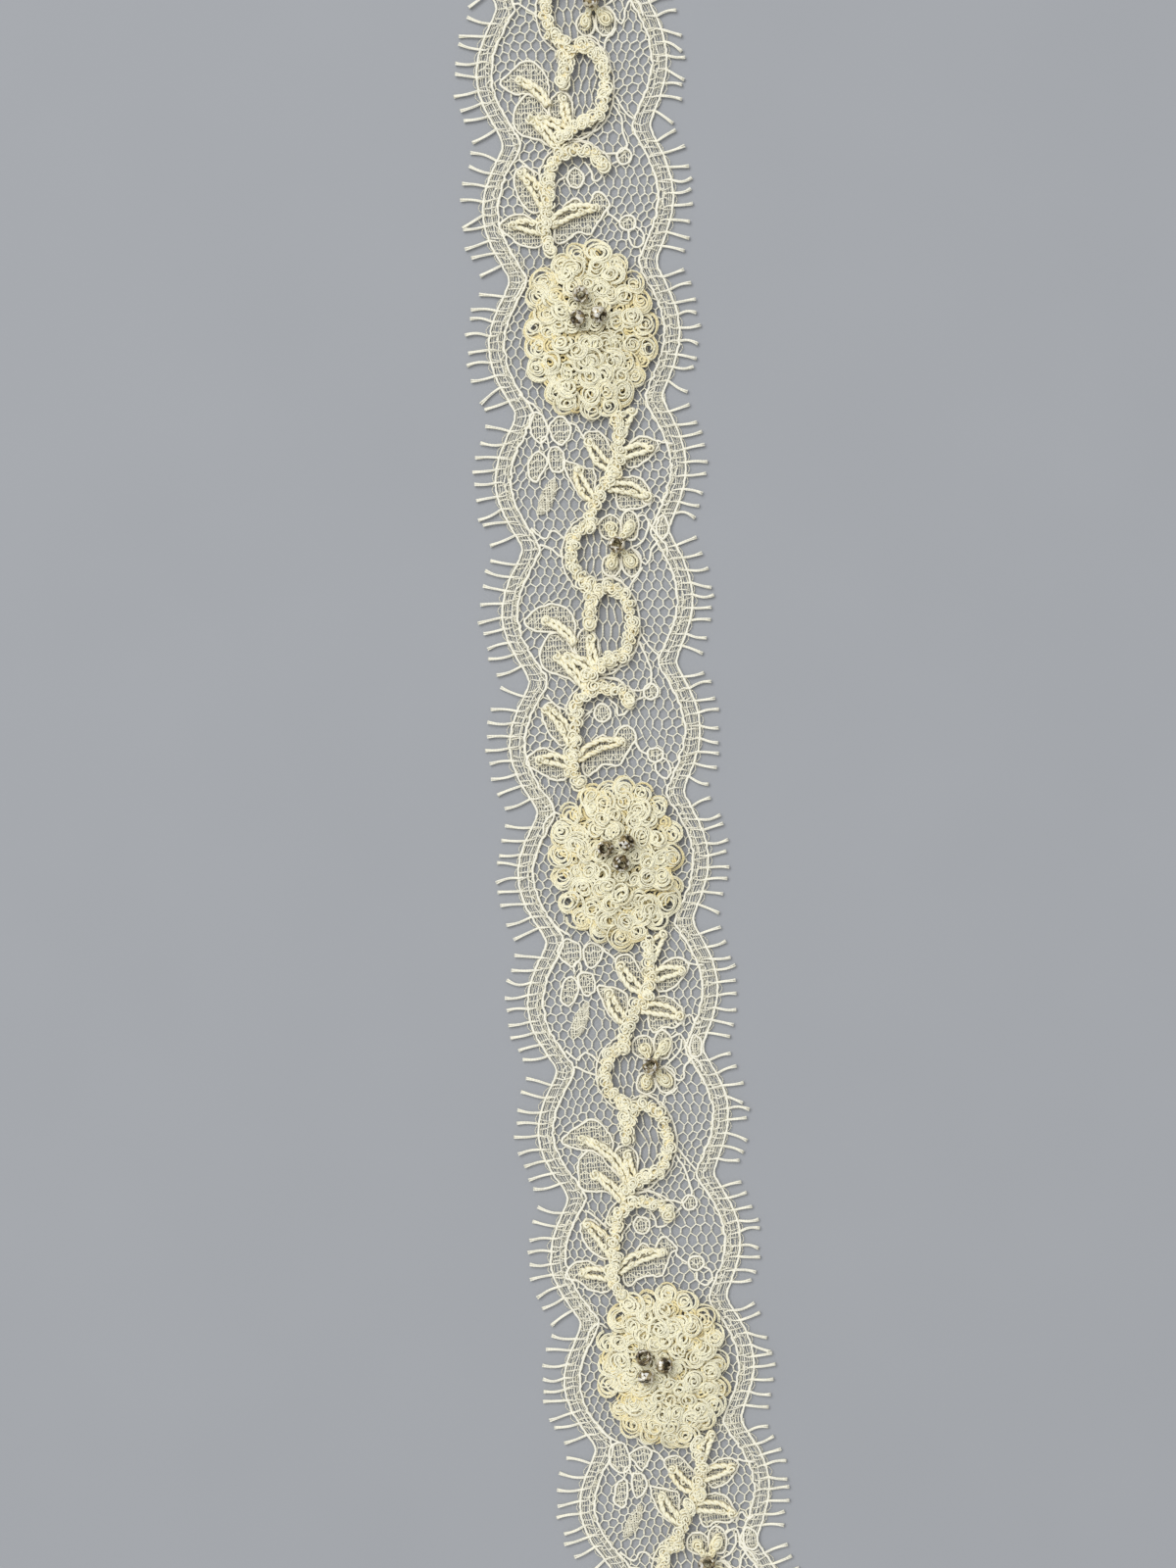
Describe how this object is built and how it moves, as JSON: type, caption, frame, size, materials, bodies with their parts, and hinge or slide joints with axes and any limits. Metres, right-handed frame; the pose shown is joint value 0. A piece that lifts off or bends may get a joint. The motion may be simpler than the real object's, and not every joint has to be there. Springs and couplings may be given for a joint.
{
  "type": "beaded lace trim",
  "caption": "Cut length of narrow scalloped net lace with lashed edges, a raised cord vine, curled cord flowers and sewn-on seed beads, lying flat.",
  "frame": {"origin": "centre of the trim's box, on its flat back", "axes": "+Y along the trim's length, towards its upper end; +X towards its right edge; +Z out of its worked face"},
  "size_m": [0.048, 0.2264, 0.0061],
  "materials": {
    "lace": "ivory thread net, semi-matte",
    "lashes": "ivory thread ends, semi-matte",
    "raised_cord": "cream embroidery cord, slight sheen",
    "curled_cord": "cream curled cord, slight sheen",
    "silver_bead": "smoky glass seed bead lined in silver"
  },
  "bodies": {
    "root": {"lace_band": "lace", "lash_fringe_left": "lashes", "lash_fringe_right": "lashes", "vine_0": "raised_cord", "blossom_0": "curled_cord", "blossom_bead_0": "silver_bead", "vine_1": "raised_cord", "blossom_1": "curled_cord", "blossom_bead_1": "silver_bead", "vine_2": "raised_cord", "blossom_2": "curled_cord", "blossom_bead_2": "silver_bead", "vine_3": "raised_cord", "blossom_3": "curled_cord", "blossom_bead_3": "silver_bead", "arch_spray_0": "raised_cord", "arch_spray_1": "raised_cord", "arch_spray_2": "raised_cord", "flower_1": "curled_cord", "flower_1_bead_1": "silver_bead", "flower_1_bead_2": "silver_bead", "flower_1_bead_3": "silver_bead", "flower_2": "curled_cord", "flower_2_bead_1": "silver_bead", "flower_2_bead_2": "silver_bead", "flower_2_bead_3": "silver_bead", "flower_3": "curled_cord", "flower_3_bead_1": "silver_bead", "flower_3_bead_2": "silver_bead", "flower_3_bead_3": "silver_bead"}
  },
  "joints": []
}
